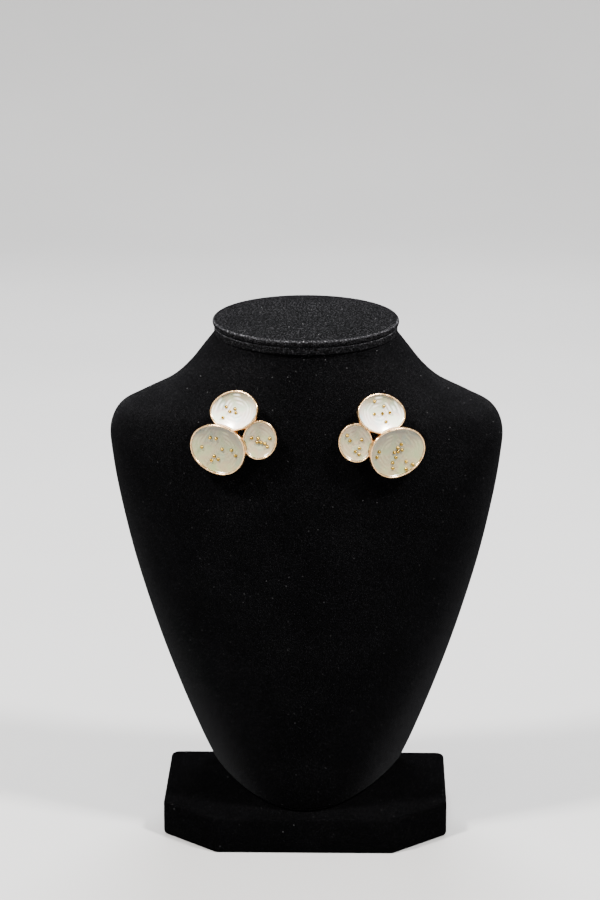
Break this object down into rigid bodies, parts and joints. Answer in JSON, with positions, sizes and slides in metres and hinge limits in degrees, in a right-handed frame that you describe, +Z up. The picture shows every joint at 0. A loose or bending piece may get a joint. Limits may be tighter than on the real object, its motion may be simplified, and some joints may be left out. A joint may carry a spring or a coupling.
{
  "type": "pair of button earrings on a neck bust",
  "caption": "Pair of cluster button earrings, dished enamel cups with small gold balls, pinned to a velvet-covered neck bust on a board with slanted corners.",
  "frame": {"origin": "on the floor, under the middle of the base board", "axes": "+Z up; the front of the bust and both earrings face -Y; +X is to the right seen from the front"},
  "size_m": [0.1308, 0.0766, 0.1783],
  "materials": {
    "board": "short black velvet over a board",
    "velvet": "short black velvet pile",
    "cup_metal": "polished pale rose-gold plate",
    "ball_metal": "polished yellow gold plate",
    "enamel_upper": "pearly white enamel with a fine brushed swirl",
    "enamel_large": "pearly grey-cream enamel with a fine brushed swirl",
    "enamel_small": "pearly cream enamel with a fine brushed swirl"
  },
  "bodies": {
    "root": {"base": "board", "bust": "velvet", "neck_cap": "velvet", "left_setting": "cup_metal", "left_post": "cup_metal", "left_enamel_upper": "enamel_upper", "left_beads_upper": "ball_metal", "left_enamel_large": "enamel_large", "left_beads_large": "ball_metal", "left_enamel_small": "enamel_small", "left_beads_small": "ball_metal", "right_setting": "cup_metal", "right_post": "cup_metal", "right_enamel_upper": "enamel_upper", "right_beads_upper": "ball_metal", "right_enamel_large": "enamel_large", "right_beads_large": "ball_metal", "right_enamel_small": "enamel_small", "right_beads_small": "ball_metal"}
  },
  "joints": []
}
